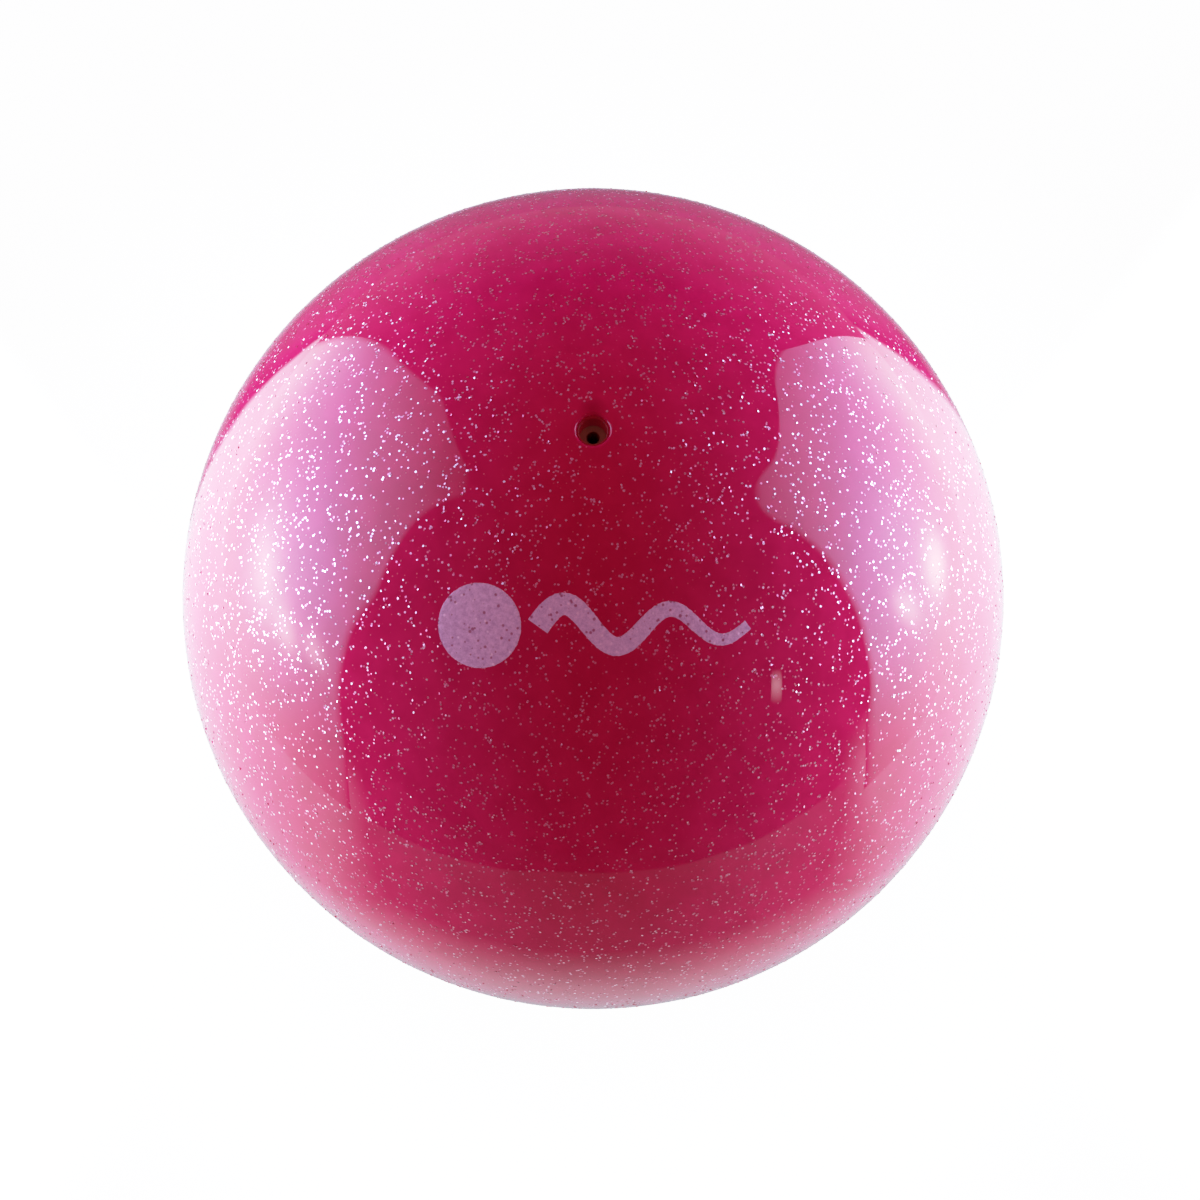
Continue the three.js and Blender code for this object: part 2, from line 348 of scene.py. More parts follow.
def on_ball(flat):
    """Unit directions of points that are given as distances to the right and up from the print's middle."""
    reach = np.maximum(np.linalg.norm(flat, axis=1, keepdims=True), 1e-12)
    angle = reach / BALL_RADIUS
    local = np.hstack([flat / reach * np.sin(angle), np.cos(angle)])
    return local @ PRINT_AXES


def ragged(size, count, seed):
    """A small uneven offset along a closed edge, as ink leaves on a curved surface."""
    edge = np.random.default_rng(seed)
    along = np.linspace(0, 2 * math.pi, count, endpoint=False)
    out = np.zeros(count)
    for turns in range(3, count // 3):
        out += edge.normal() * np.sin(turns * along + edge.uniform(0, 2 * math.pi)) / math.sqrt(count / 3)
    return size * out


def ink_film(name, rows_of_points):
    """A closed film of ink from a grid of flat points, thinner along its edges."""
    grid = np.asarray(rows_of_points, float)
    rows, columns = grid.shape[:2]
    directions = on_ball(grid.reshape(-1, 2))
    across = np.minimum(np.arange(rows), np.arange(rows)[::-1])[:, None]
    along = np.minimum(np.arange(columns), np.arange(columns)[::-1])[None, :]
    from_edge = np.minimum(across, along).ravel()
    thickness = INK_THICKNESS * np.clip(0.35 + 0.4 * from_edge, 0, 1)
    lift = BALL_RADIUS + ripple(directions * BALL_RADIUS) + INK_LIFT
    top = directions * (lift + thickness)[:, None]
    bottom = directions * lift[:, None]
    count = rows * columns
    faces = []
    for j in range(rows - 1):
        for i in range(columns - 1):
            a, b = j * columns + i, j * columns + i + 1
            c, d = b + columns, a + columns
            faces.append((a, b, c, d))
            faces.append((count + d, count + c, count + b, count + a))
    rim = list(range(columns))
    rim += [j * columns + columns - 1 for j in range(1, rows)]
    rim += [(rows - 1) * columns + i for i in range(columns - 2, -1, -1)]
    rim += [j * columns for j in range(rows - 2, 0, -1)]
    for a, b in zip(rim, rim[1:] + rim[:1]):
        faces.append((b, a, count + a, count + b))
    return add_object(name, np.vstack([top, bottom]), faces, 60)


def make_disc():
    """A square grid pressed into a disc, with a ragged edge."""
    side = np.linspace(-1, 1, DISC_STEPS + 1)
    a, b = np.meshgrid(side, side)
    x = a * np.sqrt(1 - b * b / 2)
    y = b * np.sqrt(1 - a * a / 2)
    turn = np.arctan2(y, x)
    uneven = ragged(DISC_RAGGED, 360, 5)
    radius = DISC_RADIUS + np.interp(np.degrees(turn) % 360, np.arange(360), uneven)
    return ink_film("printed_disc_ink", np.dstack([DISC_CENTRE + radius * x, radius * y]))


def ribbon_line(s):
    """Height, slope and width of the ribbon, where s is 0 at its start and 1 at its end."""
    swing = RIBBON_SWING * (1 + (RIBBON_END_SWING - 1) * s)
    phase = 2 * math.pi * s * (RIBBON_END - RIBBON_START) / RIBBON_WAVE
    slope = 2 * math.pi / RIBBON_WAVE * swing * np.cos(phase)
    return swing * np.sin(phase), slope, RIBBON_WIDE + (RIBBON_NARROW - RIBBON_WIDE) * s


def make_ribbon():
    s = np.linspace(0, 1, RIBBON_COLUMNS)
    t = np.linspace(-0.5, 0.5, RIBBON_ROWS)[:, None]
    height, slope, width = ribbon_line(s)
    length = np.hypot(1, slope)
    uneven = np.where(t > 0, ragged(RIBBON_RAGGED, len(s), 6), ragged(RIBBON_RAGGED, len(s), 7))
    across = t * width + np.sign(t) * uneven * np.abs(2 * t)
    x = RIBBON_START + (RIBBON_END - RIBBON_START) * s - across * slope / length
    y = height + across / length
    return ink_film("printed_ribbon_ink", np.dstack([x, y]))


# ---------------------------------------------------------------- glitter


def under_print(directions):
    """Which directions lie under the disc or the ribbon, whose ink covers the glitter."""
    local = directions @ PRINT_AXES.T
    reach = np.arctan2(np.hypot(local[:, 0], local[:, 1]), local[:, 2]) * BALL_RADIUS
    turn = np.arctan2(local[:, 1], local[:, 0])
    x, y = reach * np.cos(turn), reach * np.sin(turn)
    edge = FLAKE_WIDTH / 3
    disc = np.hypot(x - DISC_CENTRE, y) < DISC_RADIUS - edge
    s = (x - RIBBON_START) / (RIBBON_END - RIBBON_START)
    height, slope, width = ribbon_line(s)
    ribbon = (s > 0) & (s < 1) & (np.abs(y - height) < (width / 2 - edge) * np.hypot(1, slope))
    return disc | ribbon


def scatter(count):
    """Directions over the sphere. One in five lies close to another, as glitter settles in a coat."""
    directions = unit(rng.normal(size=(count, 3)))
    friends = rng.choice(count, count // 5, replace=False)
    partners = rng.integers(0, count, len(friends))
    nudge = rng.normal(size=(len(friends), 3)) * (FRIEND_DISTANCE / BALL_RADIUS)
    directions[friends] = directions[partners] + nudge
    directions = unit(directions)
    off_axis = np.hypot(directions[:, 0], directions[:, 1]) * BALL_RADIUS
    directions = directions[(off_axis > FLAKE_CLEAR_RADIUS) | (directions[:, 2] < 0)]
    return directions[~under_print(directions)]


def hexagons(directions):
    """Corners of each flake's two faces, as an array of flakes, 12 corners and 3 coordinates."""
    count = len(directions)
    first = unit(np.cross(directions, rng.normal(size=(count, 3))))
    second = np.cross(directions, first)
    tilt = np.abs(rng.normal(0, FLAKE_TILT, count)).clip(0, 3 * FLAKE_TILT)
    normal = directions * np.cos(tilt)[:, None] + first * np.sin(tilt)[:, None]
    slope = np.cross(second, normal)
    half = FLAKE_WIDTH / 2 * rng.uniform(*FLAKE_SIZES, count)
    lift = half * np.sin(tilt) / 3 + FLAKE_THICKNESS / 2  # a tilted flake's low edge sinks into the coat
    centre = directions * (BALL_RADIUS + ripple(directions * BALL_RADIUS) + lift)[:, None]
    spin = rng.uniform(0, math.pi, count)
    corners = []
    for side in (1, -1):
        for k in range(6):
            angle = spin + k * math.pi / 3
            edge = slope * np.cos(angle)[:, None] + second * np.sin(angle)[:, None]
            corners.append(centre + edge * half[:, None] + normal * side * FLAKE_THICKNESS / 2)
    return np.stack(corners, axis=1)


HEXAGON_FACES = [(0, 1, 2, 3, 4, 5), (11, 10, 9, 8, 7, 6)]
HEXAGON_FACES += [(k, k + 6, (k + 1) % 6 + 6, (k + 1) % 6) for k in range(6)]


def make_flakes(materials, shares):
    """The glitter, in a few pieces. Each flake has one of the given materials."""
    area_cm2 = 4 * math.pi * (BALL_RADIUS * 100) ** 2
    directions = scatter(int(FLAKES_PER_CM2 * area_cm2))
    pieces = []
    for number, some in enumerate(np.array_split(directions, FLAKE_PIECES), 1):
        corners = hexagons(some)
        starts = range(0, 12 * len(some), 12)  # of each flake's 12 corners
        faces = [tuple(start + corner for corner in face) for start in starts for face in HEXAGON_FACES]
        mesh = bpy.data.meshes.new(f"glitter_{number}")
        mesh.from_pydata(corners.reshape(-1, 3).tolist(), [], faces)
        mesh.update()
        piece = bpy.data.objects.new(mesh.name, mesh)
        bpy.context.scene.collection.objects.link(piece)
        for material in materials:
            mesh.materials.append(material)
        kind = rng.choice(len(materials), len(some), p=shares)
        mesh.polygons.foreach_set("material_index", np.repeat(kind, len(HEXAGON_FACES)).astype(np.int32))
        pieces.append(piece)
    return pieces


# ---------------------------------------------------------------- materials


class Nodes:
    """A material's node tree, with short ways to add what the materials here use."""

    def __init__(self, name):
        self.material = bpy.data.materials.new(name)
        self.material.use_nodes = True
        self.tree = self.material.node_tree
        self.shader = self.tree.nodes["Principled BSDF"]

    def link(self, source, target):
        self.tree.links.new(source, target)

    def set(self, node, socket, value):
        if isinstance(value, bpy.types.NodeSocket):
            self.link(value, node.inputs[socket])
        elif value is not None:
            node.inputs[socket].default_value = value
        return node

    def principled(self, **values):
        """Sets the shader's sockets. An underscore stands for the space in a socket's name."""
        for name, value in values.items():
            self.set(self.shader, name.replace("_", " "), value)

    def maths(self, operation, a, b=None, c=None):
        node = self.tree.nodes.new("ShaderNodeMath")
        node.operation = operation
        for index, value in enumerate((a, b, c)):
            self.set(node, index, value)
        return node.outputs[0]

    def product(self, first, *others):
        for other in others:
            first = self.maths("MULTIPLY", first, other)
        return first

    def vector(self, operation, a, b=None):
        node = self.tree.nodes.new("ShaderNodeVectorMath")
        node.operation = operation
        self.set(node, 0, a)
        self.set(node, 1, b)
        return node.outputs["Value"] if operation in ("LENGTH", "DOT_PRODUCT") else node.outputs["Vector"]

    def place(self):
        return self.tree.nodes.new("ShaderNodeTexCoord").outputs["Object"]

    def xyz(self):
        """The place as three sockets."""
        parts = self.tree.nodes.new("ShaderNodeSeparateXYZ")
        self.link(self.place(), parts.inputs[0])
        return parts.outputs["X"], parts.outputs["Y"], parts.outputs["Z"]

    def distance(self, point):
        return self.vector("LENGTH", self.vector("SUBTRACT", self.place(), point))

    def noise(self, size, detail, roughness=0.5):
        node = self.tree.nodes.new("ShaderNodeTexNoise")
        self.link(self.place(), node.inputs["Vector"])
        node.inputs["Scale"].default_value = 1 / size
        node.inputs["Detail"].default_value = detail
        node.inputs["Roughness"].default_value = roughness
        return node.outputs["Fac"]

    def cells(self, scale):
        node = self.tree.nodes.new("ShaderNodeTexVoronoi")
        self.link(self.place(), node.inputs["Vector"])
        node.inputs["Scale"].default_value = scale
        return node

    def ramp(self, value, low, high, to_low=0.0, to_high=1.0):
        """to_low where the value is low or less, to_high where it is high or more, and even between."""
        node = self.tree.nodes.new("ShaderNodeMapRange")
        node.clamp = True
        sockets = ("Value", "From Min", "From Max", "To Min", "To Max")
        for socket, number in zip(sockets, (value, low, high, to_low, to_high)):
            self.set(node, socket, number)
        return node.outputs["Result"]

    def level(self, length, reach, levels):
        """A ramp over a length, with its reach in mm."""
        return self.ramp(length, reach[0] * MM, reach[1] * MM, *levels)

    def mix(self, share, a, b):
        node = self.tree.nodes.new("ShaderNodeMix")
        node.data_type = "RGBA"
        self.set(node, 0, share)
        self.set(node, 6, a)
        self.set(node, 7, b)
        return node.outputs[2]

    def bump(self, height, distance):
        node = self.tree.nodes.new("ShaderNodeBump")
        self.link(height, node.inputs["Height"])
        node.inputs["Distance"].default_value = distance
        node.inputs["Strength"].default_value = 1.0
        return node.outputs["Normal"]


def colour(red, green, blue):
    """An opaque colour, in linear light."""
    return (red, green, blue, 1.0)


# A constant glow stands in for the light that has passed through the red vinyl and comes out all over it.
GLOW = colour(1.0, 0.004, 0.05)
GLOW_STRENGTH = 0.058
# The glitter's glow is painted light too, for light that comes through the vinyl under it
FLAKE_GLOW = colour(1.0, 0.13, 0.27)
GLOSS_ROUGHNESS = 0.015


def coat_material():
    """Pink vinyl with faint deep flakes, under a clear gloss. Just behind the valve's lip it has a painted
    shade.
    """
    n = Nodes("glitter_vinyl")
    cloud = n.noise(7 * MM, 2.0)
    base = n.mix(n.ramp(cloud, 0.35, 0.65), colour(0.59, 0.018, 0.130), colour(0.66, 0.024, 0.156))
    cells_per_metre = DEEP_FLAKES_PER_MM3 ** (1 / 3) / MM
    cells = n.cells(cells_per_metre)
    spot_size = DEEP_FLAKE_RADIUS * cells_per_metre
    spot = n.ramp(cells.outputs["Distance"], spot_size * 0.5, spot_size, 1.0, 0.0)
    chance = n.tree.nodes.new("ShaderNodeSeparateColor")
    n.link(cells.outputs["Color"], chance.inputs[0])
    share = n.maths("MULTIPLY", spot, n.ramp(chance.outputs[0], 0.2, 1.0, 0.05, 0.6))
    speckled = n.mix(share, base, colour(0.95, 0.40, 0.58))
    # Painted shade: the vinyl's colour is made darker just behind the valve's lip
    behind_lip = (0.0, MOUTH_RADIUS + 1.2 * MM, BALL_RADIUS)
    shade = n.level(n.distance(behind_lip), (0.5, 3.4), (0.55, 0.0))
    n.principled(
        Base_Color=n.mix(shade, speckled, colour(0.25, 0.004, 0.03)),
        Roughness=0.45,
        Specular_IOR_Level=0.0,
        Coat_Weight=1.0,
        Coat_Roughness=GLOSS_ROUGHNESS,
        Emission_Color=GLOW,
        Emission_Strength=GLOW_STRENGTH,
    )
    return n.material


def flake_material(name, silver, roughness, glow):
    """A metal flake under a clear gloss that takes the ball's direction, so it mirrors as the ball does. Its
    glow is painted light.
    """
    n = Nodes(name)
    n.principled(
        Base_Color=silver,
        Metallic=1.0,
        Roughness=roughness,
        Coat_Weight=1.0,
        Coat_Roughness=GLOSS_ROUGHNESS,
        Coat_Normal=n.vector("NORMALIZE", n.place()),
        Emission_Color=FLAKE_GLOW,
        Emission_Strength=glow,
    )
    return n.material


def rubber_material(name, deep, light, grain, roughness, glow=0.0):
    """Satin rubber or vinyl, a little clouded, with a fine grain. Its glow, in the lighter colour, is
    painted light.
    """
    n = Nodes(name)
    cloud = n.noise(2.5 * MM, 4.0)
    fine = n.noise(grain, 3.0, 0.6)
    n.principled(
        Base_Color=n.mix(n.ramp(cloud, 0.3, 0.7), deep, light),
        Roughness=n.ramp(fine, 0.3, 0.7, roughness - 0.08, roughness + 0.1),
        Normal=n.bump(fine, 0.03 * MM),
        Emission_Color=light,
        Emission_Strength=glow,
    )
    return n.material


def ink_material():
    """Pale lilac ink: mottled, pitted where it missed the vinyl, and raised and paler over buried flakes.
    Its glow, redder in the pits, is painted light.
    """
    n = Nodes("ink")
    mottle = n.noise(1.0 * MM, 6.0, 0.75)
    worn = n.noise(3.5 * MM, 2.0)
    pit_size = n.ramp(worn, 0.38, 0.62, 0.10, 0.28)
    from_pit = n.maths("SUBTRACT", n.cells(0.75 / MM).outputs["Distance"], pit_size)
    pit = n.ramp(from_pit, -0.04, 0.04, 1.0, 0.0)
    bump = n.ramp(n.cells(0.5 / MM).outputs["Distance"], 0.05, 0.2, 1.0, 0.0)
    # Painted light: the ink glows all over, and redder in its pits
    painted_ink_glow = n.mix(n.maths("MULTIPLY", pit, 0.7), colour(0.84, 0.36, 0.68), colour(0.5, 0.02, 0.1))
    lilac = n.mix(n.ramp(mottle, 0.36, 0.64), colour(0.22, 0.12, 0.28), colour(0.52, 0.42, 0.60))
    lilac = n.mix(n.maths("MULTIPLY", bump, 0.8), lilac, colour(0.85, 0.85, 0.95))
    n.principled(
        Base_Color=n.mix(n.maths("MULTIPLY", pit, 0.8), lilac, colour(0.10, 0.0, 0.03)),
        Roughness=n.ramp(mottle, 0.3, 0.7, 0.35, 0.5),
        Normal=n.bump(n.maths("SUBTRACT", n.maths("ADD", mottle, bump), pit), 0.03 * MM),
        Emission_Color=painted_ink_glow,
        Emission_Strength=0.25,
    )
    return n.material


# ---------------------------------------------------------------- the ball

coat = make_coat()
coat.data.materials.append(coat_material())
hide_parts("glitter_coat")

# The last number is each kind of flake's glow, which is painted light
silver = flake_material("glitter_silver", colour(0.96, 0.82, 0.89), 0.38, 0.34)
pink_silver = flake_material("glitter_pink_silver", colour(0.87, 0.44, 0.58), 0.42, 0.28)
rose = flake_material("glitter_rose", colour(0.76, 0.21, 0.35), 0.46, 0.27)
flakes = make_flakes([silver, pink_silver, rose], [0.3, 0.35, 0.35])

wall = make_wall()
wall_colours = colour(0.34, 0.006, 0.05), colour(0.44, 0.01, 0.08)
wall.data.materials.append(rubber_material("pink_vinyl", *wall_colours, 0.5 * MM, 0.4))
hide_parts("ball_wall")

# The housing and the core glow a little: painted light, for light that comes through the vinyl
housing = make_housing()
housing_colours = colour(0.25, 0.002, 0.012), colour(0.32, 0.004, 0.018)
housing.data.materials.append(rubber_material("valve_rubber", *housing_colours, 0.3 * MM, 0.4, 0.15))
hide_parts("valve_housing")

core = make_core()
core_colours = colour(0.20, 0.045, 0.032), colour(0.30, 0.062, 0.045)
core.data.materials.append(rubber_material("core_rubber", *core_colours, 0.25 * MM, 0.55, 0.12))
core.data.materials.append(rubber_material("core_channel", *core_colours, 0.25 * MM, 0.55))
for face in core.data.polygons:
    from_axis = math.hypot(face.center.x, face.center.y)
    in_channel = from_axis < NEEDLE_RADIUS + FUNNEL_WIDTH and face.center.z > CORE_TIP + 1 * MM
    face.material_index = 1 if in_channel else 0  # the channel has none of the painted glow
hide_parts("valve_core")

ink = ink_material()
disc = make_disc()
ribbon = make_ribbon()
for piece, node in ((disc, "printed_disc"), (ribbon, "printed_ribbon")):
    piece.data.materials.append(ink)
    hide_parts(node)

for piece in (coat, *flakes, wall, housing, core, disc, ribbon):
    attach(piece, "root")

# ---------------------------------------------------------------- studio

FLOOR_HEIGHT = cad_low.z
TABLE_TINT = (0.82, 1.0, 1.10)
COOL = (0.70, 1.0, 1.65)
WARM = (1.0, 0.95, 0.8)
ENDLESS = 1e3  # the spread of a bell along an axis on which it doesn't fall off


def grid_object(name, points):
    """A sheet through rows of points."""
    points = np.asarray(points, float)
    rows, columns = points.shape[:2]
    faces = []
    for j in range(rows - 1):
        for i in range(columns - 1):
            a = j * columns + i
            faces.append((a, a + 1, a + columns + 1, a + columns))
    return add_object(name, points.reshape(-1, 3), faces)


def square(size, height):
    half = size / 2
    return [[(x, y, height) for x in (-half, half)] for y in (-half, half)]


def seen_by(sheet, **rays):
    """Shows the sheet to the named kinds of ray only."""
    for ray in ("camera", "diffuse", "glossy", "transmission", "shadow"):
        setattr(sheet, "visible_" + ray, rays.get(ray, False))


def glow_material(name, tint, strength, clear):
    """An emitter. strength(nodes) gives the socket for how bright it is, and tint is a colour or a function
    like that. What is behind a clear one shows through."""
    n = Nodes(name)
    n.tree.nodes.remove(n.shader)
    light = n.tree.nodes.new("ShaderNodeEmission")
    n.set(light, "Color", tint(n) if callable(tint) else colour(*tint))
    n.set(light, "Strength", strength(n))
    surface = light.outputs[0]
    if clear:
        through = n.tree.nodes.new("ShaderNodeBsdfTransparent")
        both = n.tree.nodes.new("ShaderNodeAddShader")
        n.link(surface, both.inputs[0])
        n.link(through.outputs[0], both.inputs[1])
        surface = both.outputs[0]
    output = next(node for node in n.tree.nodes if node.type == "OUTPUT_MATERIAL")
    n.link(surface, output.inputs["Surface"])
    return n.material


def light_sheet(name, points, tint, strength, clear=False, diffuse=False):
    """A sheet of light that only the ball's gloss sees, and its colour too where diffuse is set."""
    sheet = grid_object(name, points)
    sheet.data.materials.append(glow_material(name, tint, strength, clear))
    seen_by(sheet, glossy=True, diffuse=diffuse)
    return sheet


def falling_off(n, centre, spread):
    """1 at the centre, falling off as a bell along each axis."""
    place = n.vector("DIVIDE", n.vector("SUBTRACT", n.place(), centre), spread)
    return n.maths("EXPONENT", n.maths("MULTIPLY", n.vector("DOT_PRODUCT", place, place), -1.0))


# The two lit sides of the tent, seen from the ball: (height, front edge, back edge) in mm, from the table up
LEFT_SIDE = [
    (-92, -245, 345), (0, -210, 356), (60, -160, 354), (130, -110, 345), (200, -85, 328), (250, -45, 315),
    (300, -5, 300), (350, 20, 288), (390, 35, 245), (440, 48, 195), (490, 58, 140), (515, 78, 105),
]
RIGHT_SIDE = [
    (-92, -190, 368), (0, -155, 400), (60, -105, 395), (130, -60, 375), (200, -25, 338), (240, -10, 290),
    (265, -2, 205), (300, 5, 140), (340, 20, 105), (370, 45, 75),
]
SIDE_DISTANCE = 300 * MM
SIDE_COLUMNS = 24
EDGE_FADE = 14 * MM

# Light on a side: soft spots of (level, y, z, width, height) in mm. The folds are creases in the cloth.
SIDE_GLOW = [(4.0, 90, -50, 275, 325), (3.4, 5, 30, 110, 105), (2.6, 280, -70, 130, 130)]
LEFT_FOLDS = [(5.0, 22, 17, 52, 30), (4.5, -47, 33, 26, 18), (4.0, -88, 66, 22, 16)]
RIGHT_FOLDS = [(6.0, 38, -12, 28, 24), (5.0, -22, 32, 15, 26)]
CREASED_Y, CREASED_Z = (-160, 160), (-85, 160)  # mm
CREASES_INSIDE = 1 * MM  # from the side to the sheet that holds its creases

# Ramps over the height on a side: (from, to) in mm, (value at from, value at to)
SIDE_RISING = (0, 200), (1.0, 1.28)
SIDE_COOLING = (-60, 130), (0.0, 1.0)


def smooth_line(points, steps=6):
    """More points on a smooth curve through the given ones (Catmull-Rom)."""
    p = np.array([points[0], *points, points[-1]], float)
    out = []
    for a, b, c, d in zip(p, p[1:], p[2:], p[3:]):
        for t in np.arange(steps) / steps:
            square_term = (2 * a - 5 * b + 4 * c - d) * t ** 2
            cube_term = (3 * b - a - 3 * c + d) * t ** 3
            out.append(0.5 * (2 * b + (c - a) * t + square_term + cube_term))
    out.append(p[-1])
    return np.array(out)


def spots(n, places):
    """The sum of soft spots of light."""
    light = 0.0
    for level, y, z, wide, tall in places:
        bell = falling_off(n, (0, y * MM, z * MM), (ENDLESS, wide * MM, tall * MM))
        light = n.maths("MULTIPLY_ADD", bell, level, light)
    return light


def lit_side(name, outline, side, folds):
    """A lit side of the tent with soft edges, and a clear sheet just inside it that holds its creases."""
    outline = smooth_line(outline) * MM
    across = 0.5 - 0.5 * np.cos(np.linspace(0, math.pi, SIDE_COLUMNS + 1))
    top = outline[-1][0]
    points, fade = [], []
    for height, front, back in outline:
        points.append([(side * SIDE_DISTANCE, front + (back - front) * t, height) for t in across])
        for t in across:
            inside = (back - front) * min(t, 1 - t)
            fade.append(min(1.0, inside / EDGE_FADE) * min(1.0, (top - height) / (2 * EDGE_FADE)))

    def strength(n):
        edge = n.tree.nodes.new("ShaderNodeAttribute")
        edge.attribute_name = "fade"
        height = n.xyz()[2]
        return n.product(spots(n, SIDE_GLOW), n.level(height, *SIDE_RISING), edge.outputs["Fac"])

    def tint(n):
        height = n.xyz()[2]
        return n.mix(n.level(height, *SIDE_COOLING), colour(*TABLE_TINT), colour(*COOL))

    sheet = light_sheet(name, points, tint, strength)
    sheet.data.attributes.new("fade", "FLOAT", "POINT").data.foreach_set("value", fade)
    x = side * (SIDE_DISTANCE - CREASES_INSIDE)
    creased = [[(x, y * MM, z * MM) for y in CREASED_Y] for z in CREASED_Z]
    light_sheet(name + "_creases", creased, WARM, lambda n: spots(n, folds), clear=True)


lit_side("light_left", LEFT_SIDE, -1, LEFT_FOLDS)
lit_side("light_right", RIGHT_SIDE, 1, RIGHT_FOLDS)

# Soft lights: (name, place in metres, power in watts, tint). The paired ones stand on both sides.
SOFT_LIGHT_SIZE = 1.0
PAIRED_LIGHTS = [
    ("side_light", (1.5, 0.1, -0.2), 20.5, (1.0, 1.0, 1.4)),
    ("low_light", (1.06, 1.06, -0.2), 12, (1.0, 0.6, 2.3)),
    ("high_light", (1.05, 0, 1.05), 5.4, (1.0, 0.3, 0.3)),
]
SINGLE_LIGHTS = [
    ("back_light", (0, 1.5, 0.3), 5, (1.0, 0.3, 0.25)),
    ("low_front_light", (0, -1.3, -0.75), 9, (1.0, 0.35, 0.4)),
]


def soft_light(name, place, power, tint):
    """A soft light that lights the ball's colour but isn't mirrored in its gloss. It faces the ball."""
    data = bpy.data.lights.new(name, "AREA")
    data.shape = "RECTANGLE"
    data.size = data.size_y = SOFT_LIGHT_SIZE
    data.energy = power
    data.color = tint
    light = bpy.data.objects.new(name, data)
    light.location = place
    light.rotation_mode = "QUATERNION"
    light.rotation_quaternion = Vector(place).to_track_quat("Z", "Y")
    light.visible_glossy = False
    light.visible_camera = False
    bpy.context.scene.collection.objects.link(light)


for side in (-1, 1):
    for name, (x, y, z), power, tint in PAIRED_LIGHTS:
        soft_light(name, (side * x, y, z), power, tint)
for light in SINGLE_LIGHTS:
    soft_light(*light)

# What the gloss mirrors of the table. Ramps over lengths: (from, to) in mm, (value at from, value at to)
TABLE_SIZE = 2.4
SIDES_RISE = (80, 350), (0.8, 6.2)  # over the distance to either side
SIDES_CENTRE, SIDES_SPREAD = 120 * MM, 330 * MM  # of the bright sides, front to back
SIDES_END = (338, 358), (1.0, 0.0)  # over y, at the lit sides' back edges
BACK_LINE_X, BACK_LINE_Y = 138 * MM, 110 * MM  # the bright sides' back edge passes this point
BACK_LINE_SLOPE, BACK_LINE_BEND = 1.12, 3.7  # outwards from there; the bend is per metre
BACK_LINE_SKEW = 17 * MM  # further back on the right, and nearer on the left
BACK_LINE_FADE = (-10, 8), (1.0, 0.0)
FRONT_LINE_SLOPE, FRONT_LINE_SKEW = 0.62, -0.08  # of the bright sides' front edge, which passes the origin
FRONT_LINE_FADE = (-85, -15), (0.0, 1.0)
DARK_START = 655 * MM  # from the ball to the dark part in front, whose edge is a parabola
DARK_BEND = (-50, 50), (4.0, 1.9)  # per metre, from the left to the right
DARK_EDGE = (-15, 15), (0.03, 0.42)
BESIDE_OUTWARDS = (100, 300), (0.0, 1.2)  # extra light beside the ball
BESIDE_BACKWARDS = (-50, 50), (1.0, 0.0)
PLAIN_BACKWARDS = (-60, 150), (1.5, 0.5)
PLAIN_BEHIND_LINE = (25, 65), (0.3, 1.0)
RING_OUTWARDS = (135, 215), (1.1, 0.0)  # a brighter ring round the ball
RING_BACKWARDS = (-40, 40), (1.0, 0.95)
CONTACT_SHADOW = (115, 155), (0.4, 1.0)


def table_strength(n):
    """Bright towards the lit sides, between lines that run out from the ball. Dim before and behind it."""
    x, y, _ = n.xyz()
    to_side = n.maths("ABSOLUTE", x)
    from_ball = n.vector("LENGTH", n.place())

    out = n.maths("SUBTRACT", to_side, BACK_LINE_X)
    line = n.maths("MULTIPLY_ADD", n.product(out, out), BACK_LINE_BEND, n.product(out, BACK_LINE_SLOPE))
    line = n.maths("MULTIPLY_ADD", n.maths("SIGN", x), BACK_LINE_SKEW, line)
    behind = n.maths("SUBTRACT", n.maths("SUBTRACT", y, BACK_LINE_Y), line)
    before = n.maths("MULTIPLY_ADD", to_side, FRONT_LINE_SLOPE, y)
    before = n.maths("MULTIPLY_ADD", x, FRONT_LINE_SKEW, before)
    sides = n.product(
        n.level(to_side, *SIDES_RISE),
        falling_off(n, (0, SIDES_CENTRE, 0), (ENDLESS, SIDES_SPREAD, ENDLESS)),
        n.level(behind, *BACK_LINE_FADE),
        n.level(before, *FRONT_LINE_FADE),
        n.level(y, *SIDES_END),
    )

    parabola = n.product(to_side, to_side, n.level(x, *DARK_BEND))
    plain = n.level(n.maths("SUBTRACT", n.maths("ADD", y, DARK_START), parabola), *DARK_EDGE)
    beside = n.product(n.level(to_side, *BESIDE_OUTWARDS), n.level(y, *BESIDE_BACKWARDS))
    plain = n.product(
        n.maths("MULTIPLY_ADD", plain, beside, plain),
        n.level(y, *PLAIN_BACKWARDS),
        n.level(behind, *PLAIN_BEHIND_LINE),
    )
    ring = n.product(n.level(from_ball, *RING_OUTWARDS), n.level(y, *RING_BACKWARDS))
    plain = n.product(n.maths("ADD", plain, ring), n.level(from_ball, *CONTACT_SHADOW))
    return n.maths("MAXIMUM", sides, plain)


table = square(TABLE_SIZE, FLOOR_HEIGHT)
light_sheet("table_seen_in_gloss", table, TABLE_TINT, table_strength, diffuse=True)

# The back of the tent, which fades upwards
BACK_DISTANCE = 350 * MM
BACK_TOP = 200 * MM
BACK_FADE = (-90, 150), (0.32, 0.0)
back = [[(x, BACK_DISTANCE, z) for x in (-BACK_DISTANCE, BACK_DISTANCE)] for z in (FLOOR_HEIGHT, BACK_TOP)]
light_sheet("back_seen_in_gloss", back, (1.0, 1.0, 1.0), lambda n: n.level(n.xyz()[2], *BACK_FADE))

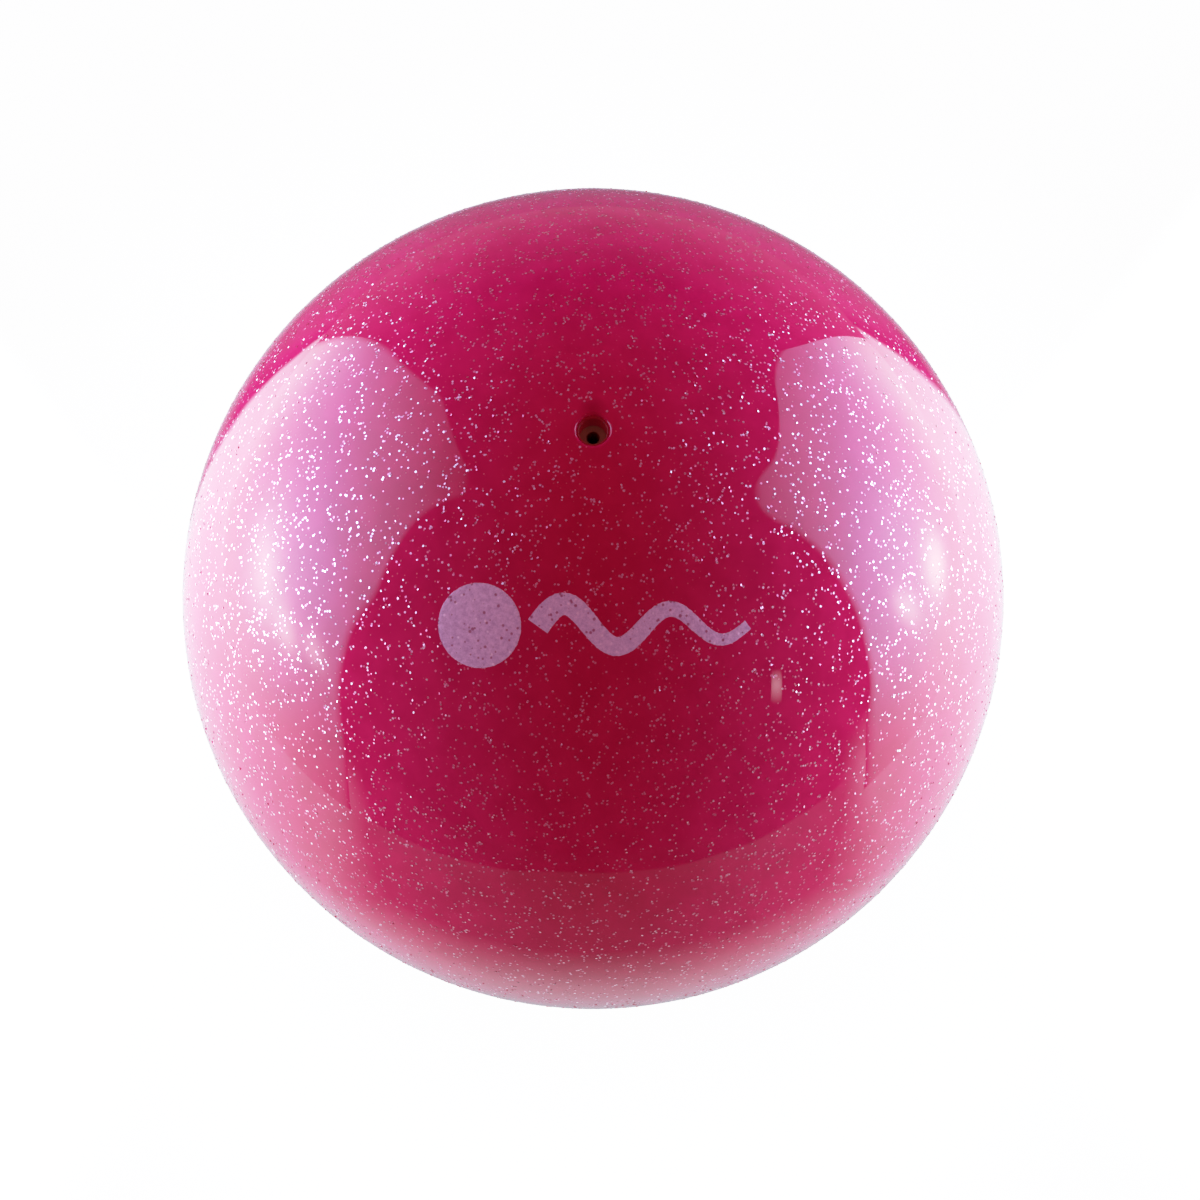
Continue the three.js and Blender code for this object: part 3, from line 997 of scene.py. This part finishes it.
# A bright gap in the tent's front, to the right of the camera
GAP_PLACE = Vector((300, -235, 193)) * MM
GAP_ALONG = Vector((0, 0.75, 0.66)) * 34 * MM  # from its middle to its ends
GAP_ACROSS = Vector((0, -0.66, 0.75)) * 13 * MM
GAP_FADE = (4, 30), (4.5, 0.0)
gap = [[GAP_PLACE + a * GAP_ALONG + b * GAP_ACROSS for a in (-1, 1)] for b in (-1, 1)]


def gap_strength(n):
    return n.level(n.distance(GAP_PLACE), *GAP_FADE)


light_sheet("gap_seen_in_gloss", gap, (1.0, 1.0, 1.1), gap_strength, clear=True)

# The floor that the camera sees, plain and almost as bright as the background
FLOOR_SIZE = 30.0
FLOOR_DROP = 0.1 * MM  # keeps it clear of the table that the gloss sees
FLOOR_GREY = 0.1
FLOOR_GLOW = 1.5
BACKGROUND = 1.55
floor = grid_object("floor", square(FLOOR_SIZE, FLOOR_HEIGHT - FLOOR_DROP))
floor_nodes = Nodes("floor")
floor_nodes.principled(
    Base_Color=colour(FLOOR_GREY, FLOOR_GREY, FLOOR_GREY),
    Roughness=1.0,
    Specular_IOR_Level=0.0,
    Emission_Color=colour(1, 1, 1),
    Emission_Strength=FLOOR_GLOW,
)
floor.data.materials.append(floor_nodes.material)
seen_by(floor, camera=True)

world = bpy.data.worlds.new("studio")
bpy.context.scene.world = world
world.use_nodes = True
background = colour(BACKGROUND, BACKGROUND, BACKGROUND)
world.node_tree.nodes["Background"].inputs["Color"].default_value = background
for ray in ("diffuse", "glossy", "transmission", "scatter"):
    setattr(world.cycles_visibility, ray, False)

# A photograph's soft shoulder: light above about 0.6 is compressed, and reaches white at WHITE_LEVEL.
WHITE_LEVEL = 1.6
SHOULDER = ((0.3, 0.3), (0.6, 0.6), (1.0, 0.85), (1.3, 0.94))  # (light, how bright it is shown)
view = bpy.context.scene.view_settings
view.view_transform = "Standard"
view.use_curve_mapping = True
response = view.curve_mapping
response.white_level = (WHITE_LEVEL, WHITE_LEVEL, WHITE_LEVEL)
for light, shown in SHOULDER:
    response.curves[3].points.new(light / WHITE_LEVEL, shown)
response.update()

# ---------------------------------------------------------------- camera

camera = bpy.data.objects.new("camera", bpy.data.cameras.new("camera"))
bpy.context.scene.collection.objects.link(camera)
bpy.context.scene.camera = camera
forward, up = math.cos(CAMERA_ELEVATION), math.sin(CAMERA_ELEVATION)
camera.location = (0, -CAMERA_DISTANCE * forward, CAMERA_DISTANCE * up)
camera.rotation_mode = "XYZ"
camera.rotation_euler = (math.pi / 2 - CAMERA_ELEVATION, 0, 0)
half_angle = math.asin(BALL_RADIUS / CAMERA_DISTANCE)
camera.data.sensor_width = SENSOR_WIDTH
camera.data.lens = SENSOR_WIDTH * BALL_IN_FRAME / (2 * math.tan(half_angle))
camera.data.shift_x, camera.data.shift_y = CENTRE_SHIFT
camera.data.clip_end = 50  # metres
